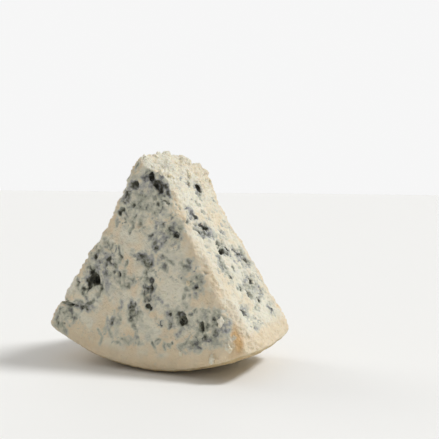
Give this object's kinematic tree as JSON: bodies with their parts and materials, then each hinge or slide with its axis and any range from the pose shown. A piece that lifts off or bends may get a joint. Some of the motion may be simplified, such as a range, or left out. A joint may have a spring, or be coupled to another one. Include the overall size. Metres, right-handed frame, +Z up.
{
  "type": "blue cheese wedge",
  "caption": "Hand-cut wedge of crumbly blue-veined cheese standing on its curved rind, with a broken blunt tip, mould pockets, a split corner and a soft tan rind",
  "frame": {"origin": "middle of the bounding box's bottom face, on the surface that the wedge stands on", "axes": "+Z up from the rind to the broken tip; -Y is the large front face, cut across the wheel; +X is to the right of that face; the wheel's axis lies along Y"},
  "size_m": [0.1046, 0.056, 0.099],
  "materials": {
    "cheese": "soft matte, slightly moist"
  },
  "bodies": {
    "root": {"cheese_wedge": "cheese"}
  },
  "joints": []
}
